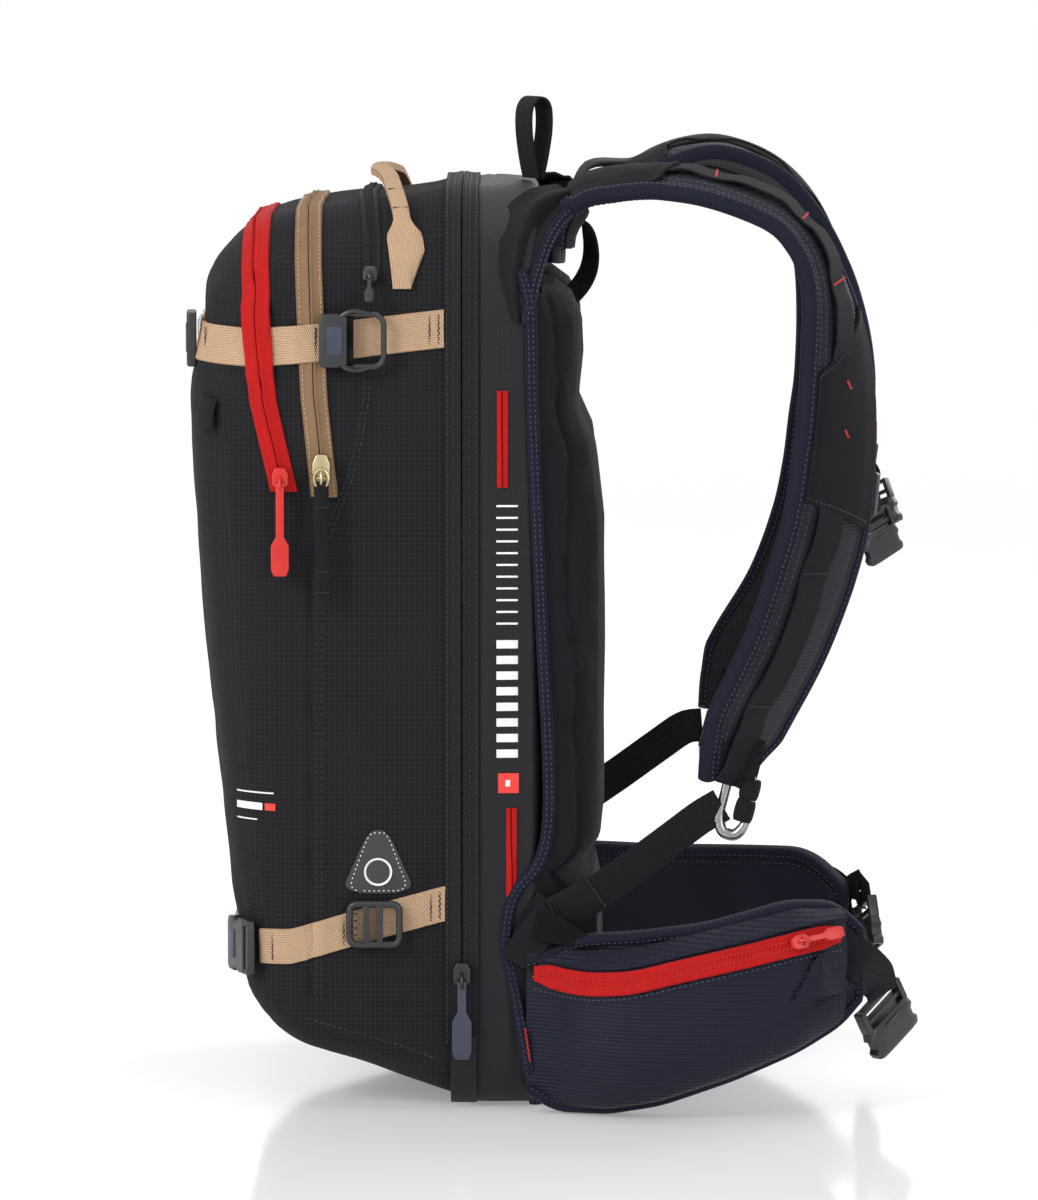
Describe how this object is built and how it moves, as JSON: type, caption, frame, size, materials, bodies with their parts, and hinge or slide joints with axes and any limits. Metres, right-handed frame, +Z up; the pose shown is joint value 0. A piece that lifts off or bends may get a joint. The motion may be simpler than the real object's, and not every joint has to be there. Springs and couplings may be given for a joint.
{
  "type": "avalanche airbag backpack",
  "caption": "Clamshell ski pack with an inflatable airbag in its perimeter band, a gas inflator, padded harness, hip belt with zipped pocket and strapped buckles.",
  "frame": {"origin": "middle of the flat base of the airbag band, on which the pack stands", "axes": "+Z up along the back, +Y from the pack towards the wearer, +X to the wearer's right"},
  "size_m": [0.3457, 0.4161, 0.5657],
  "materials": {
    "black_ripstop": "matte ripstop weave",
    "coated_black": "smooth coated weave",
    "red_tape": "water-resistant zip tape",
    "tan_webbing": "woven webbing",
    "black_webbing": "woven webbing",
    "black_plastic": "moulded, satin",
    "red_plastic": "moulded, satin",
    "navy_plastic": "moulded, satin",
    "brass_metal": "antique, satin",
    "black_metal": "black coated",
    "airbag_cloth": "coated airbag cloth, folded",
    "polished_steel": "polished",
    "anodised_aluminium": "grey anodised",
    "aluminium": "plain satin",
    "black_rubber": "satin",
    "frame_plastic": "sheet, matte",
    "back_mesh": "spacer mesh over foam",
    "navy_cloth": "matte twill",
    "navy_ripstop": "ribbed ripstop"
  },
  "bodies": {
    "back_panel": {"back_shell": "coated_black", "frame_sheet": "frame_plastic", "frame_stay": "aluminium", "airbag_left": "airbag_cloth", "airbag_right": "airbag_cloth", "gas_canister": "anodised_aluminium", "inflator_head": "anodised_aluminium", "inflation_manifold": "black_rubber", "trigger_cable": "black_rubber", "main_zip_tape_back": "black_webbing", "back_pad_left": "back_mesh", "back_pad_right": "back_mesh", "lumbar_pad": "back_mesh", "carry_loop": "black_webbing", "back_handle": "black_webbing", "shoulder_strap_left": "navy_cloth", "shoulder_strap_right": "navy_cloth", "lower_webbing_left": "black_webbing", "lower_webbing_right": "black_webbing"},
    "front_panel": {"front_shell": "black_ripstop", "tool_sleeve": "navy_cloth", "red_zip_tape": "red_tape", "tan_zip_tape": "tan_webbing", "top_zip_tape": "black_webbing", "main_zip_tape_front": "black_webbing", "upper_strap_left": "tan_webbing", "upper_strap_right": "tan_webbing", "lower_strap_left": "tan_webbing", "lower_strap_right": "tan_webbing", "top_grab_handle": "tan_webbing"},
    "hip_wing_right": {"hip_wing_right": "navy_cloth", "hip_pocket": "navy_ripstop", "hip_zip_tape": "red_tape"},
    "hip_wing_left": {"hip_wing_left": "navy_cloth"},
    "hip_buckle_right": {"hip_buckle_right": "black_plastic"},
    "hip_buckle_left": {"hip_buckle_left": "black_plastic"},
    "red_zip_slider": {"red_zip_slider": "red_plastic"},
    "red_zip_pull": {"red_zip_pull": "red_plastic"},
    "tan_zip_slider": {"tan_zip_slider": "brass_metal"},
    "tan_zip_pull": {"tan_zip_pull": "black_webbing"},
    "top_zip_slider": {"top_zip_slider": "black_plastic"},
    "top_zip_pull": {"top_zip_pull": "black_plastic"},
    "main_zip_slider": {"main_zip_slider": "black_metal"},
    "main_zip_pull": {"main_zip_pull": "navy_plastic"},
    "hip_zip_slider": {"hip_zip_slider": "red_plastic"},
    "hip_zip_pull": {"hip_zip_pull": "red_plastic"},
    "upper_side_buckle_right": {"upper_side_buckle_right": "black_plastic"},
    "lower_side_buckle_right": {"lower_side_buckle_right": "black_plastic"},
    "upper_side_buckle_left": {"upper_side_buckle_left": "black_plastic"},
    "lower_side_buckle_left": {"lower_side_buckle_left": "black_plastic"},
    "upper_front_buckle": {"upper_front_buckle": "black_plastic"},
    "lower_front_buckle": {"lower_front_buckle": "black_plastic"},
    "strap_hook_right": {"strap_hook_right": "polished_steel"},
    "strap_hook_left": {"strap_hook_left": "polished_steel"},
    "sternum_right_slider": {"sternum_right_slider": "black_plastic"},
    "sternum_left_slider": {"sternum_left_slider": "black_plastic"},
    "sternum_right_buckle": {"sternum_right_buckle": "black_plastic"},
    "sternum_left_buckle": {"sternum_left_buckle": "black_plastic"},
    "trigger_handle": {"trigger_handle": "red_plastic"},
    "inflator_lever": {"inflator_lever": "red_plastic"}
  },
  "joints": [
    {"name": "front_open", "type": "hinge", "parent": "back_panel", "child": "front_panel", "pos_m": [0, -0.028, 0.002], "axis": [1, 0, 0], "range_deg": [0, 95]},
    {"name": "hip_wing_right_fold", "type": "hinge", "parent": "back_panel", "child": "hip_wing_right", "pos_m": [0.1385, 0.0085, 0.05], "axis": [0, 0, -1], "range_deg": [-18, 50]},
    {"name": "hip_wing_left_fold", "type": "hinge", "parent": "back_panel", "child": "hip_wing_left", "pos_m": [-0.1385, 0.0085, 0.05], "axis": [0, 0, 1], "range_deg": [-18, 50]},
    {"name": "hip_buckle_right_swing", "type": "hinge", "parent": "hip_wing_right", "child": "hip_buckle_right", "pos_m": [0.122, 0.209, 0.0615], "axis": [-0.7071, 0.7071, 0], "range_deg": [-40, 40]},
    {"name": "hip_buckle_left_swing", "type": "hinge", "parent": "hip_wing_left", "child": "hip_buckle_left", "pos_m": [-0.128, 0.211, 0.078], "axis": [0.9536, 0.3011, 0], "range_deg": [-5, 40]},
    {"name": "red_zip_slide", "type": "slide", "parent": "front_panel", "child": "red_zip_slider", "axis": [-0.0438, -0.2239, 0.9736], "range_m": [0, 0.04]},
    {"name": "red_zip_pull_swing", "type": "hinge", "parent": "red_zip_slider", "child": "red_zip_pull", "pos_m": [0.14843, -0.12909, 0.35488], "axis": [-0.0255, -0.9997, 0], "range_deg": [0, 155]},
    {"name": "tan_zip_slide", "type": "slide", "parent": "front_panel", "child": "tan_zip_slider", "axis": [-0.0199, -0.0995, 0.9948], "range_m": [0, 0.04]},
    {"name": "tan_zip_pull_swing", "type": "hinge", "parent": "tan_zip_slider", "child": "tan_zip_pull", "pos_m": [0.14994, -0.10599, 0.35842], "axis": [0.0154, -0.9999, 0], "range_deg": [0, 155]},
    {"name": "top_zip_slide", "type": "slide", "parent": "front_panel", "child": "top_zip_slider", "axis": [-0.4835, -0.0995, 0.8697], "range_m": [0, 0.01]},
    {"name": "top_zip_pull_swing", "type": "hinge", "parent": "top_zip_slider", "child": "top_zip_pull", "pos_m": [0.14129, -0.07897, 0.47021], "axis": [-0.0353, -0.9994, 0], "range_deg": [0, 155]},
    {"name": "main_zip_slide", "type": "slide", "parent": "back_panel", "child": "main_zip_slider", "axis": [0, 0, 1], "range_m": [0, 0.35]},
    {"name": "main_zip_pull_swing", "type": "hinge", "parent": "main_zip_slider", "child": "main_zip_pull", "pos_m": [0.1446, -0.028, 0.0741], "axis": [0, -1, 0], "range_deg": [0, 155]},
    {"name": "hip_zip_slide", "type": "slide", "parent": "hip_wing_right", "child": "hip_zip_slider", "axis": [0.2158, -0.9533, -0.2113], "range_m": [0, 0.02]},
    {"name": "hip_zip_pull_swing", "type": "hinge", "parent": "hip_zip_slider", "child": "hip_zip_pull", "pos_m": [0.1826, 0.16301, 0.10377], "axis": [0.2409, 0.2614, -0.9347], "range_deg": [0, 155]},
    {"name": "upper_side_buckle_right_tip", "type": "hinge", "parent": "front_panel", "child": "upper_side_buckle_right", "pos_m": [0.14257, -0.07121, 0.4345], "axis": [0, 0, 1], "range_deg": [0, 60]},
    {"name": "lower_side_buckle_right_tip", "type": "hinge", "parent": "front_panel", "child": "lower_side_buckle_right", "pos_m": [0.14091, -0.06084, 0.1065], "axis": [0, 0, 1], "range_deg": [0, 60]},
    {"name": "upper_side_buckle_left_tip", "type": "hinge", "parent": "front_panel", "child": "upper_side_buckle_left", "pos_m": [-0.14261, -0.07121, 0.4345], "axis": [0, 0, -1], "range_deg": [0, 60]},
    {"name": "lower_side_buckle_left_tip", "type": "hinge", "parent": "front_panel", "child": "lower_side_buckle_left", "pos_m": [-0.141, -0.06086, 0.1065], "axis": [0, 0, -1], "range_deg": [0, 60]},
    {"name": "upper_front_buckle_tip", "type": "hinge", "parent": "front_panel", "child": "upper_front_buckle", "pos_m": [0.10271, -0.18265, 0.432], "axis": [0, 0, 1], "range_deg": [0, 60]},
    {"name": "lower_front_buckle_tip", "type": "hinge", "parent": "front_panel", "child": "lower_front_buckle", "pos_m": [0.12977, -0.14413, 0.091], "axis": [0, 0, 1], "range_deg": [0, 60]},
    {"name": "strap_hook_right_swing", "type": "hinge", "parent": "back_panel", "child": "strap_hook_right", "pos_m": [0.134, 0.13057, 0.19095], "axis": [0.1958, 0.9496, -0.2447], "range_deg": [-20, 20]},
    {"name": "strap_hook_left_swing", "type": "hinge", "parent": "back_panel", "child": "strap_hook_left", "pos_m": [-0.134, 0.12847, 0.19795], "axis": [-0.1958, 0.9496, -0.2447], "range_deg": [-20, 20]},
    {"name": "sternum_right_slide", "type": "slide", "parent": "back_panel", "child": "sternum_right_slider", "axis": [0.0902, -0.0902, -0.9918], "range_m": [-0.03, 0.03]},
    {"name": "sternum_left_slide", "type": "slide", "parent": "back_panel", "child": "sternum_left_slider", "axis": [-0.0917, -0.1345, -0.9867], "range_m": [-0.03, 0.03]},
    {"name": "sternum_right_buckle_swing", "type": "hinge", "parent": "sternum_right_slider", "child": "sternum_right_buckle", "pos_m": [0.09066, 0.20323, 0.33174], "axis": [-0.6, 0.8, 0], "range_deg": [-30, 30]},
    {"name": "sternum_left_buckle_swing", "type": "hinge", "parent": "sternum_left_slider", "child": "sternum_left_buckle", "pos_m": [-0.09067, 0.21182, 0.33246], "axis": [0.6, 0.8, 0], "range_deg": [-30, 30]},
    {"name": "trigger_pull", "type": "slide", "parent": "back_panel", "child": "trigger_handle", "axis": [-0.1202, 0.0093, -0.9927], "range_m": [0, 0.05]},
    {"name": "inflator_lever_turn", "type": "hinge", "parent": "back_panel", "child": "inflator_lever", "pos_m": [-0.0525, -0.027, 0.325], "axis": [1, 0, 0], "range_deg": [0, 35]}
  ],
  "couplings": [
    {"joint": "inflator_lever_turn", "follows": "trigger_pull", "rad_per_m": 12.2}
  ]
}
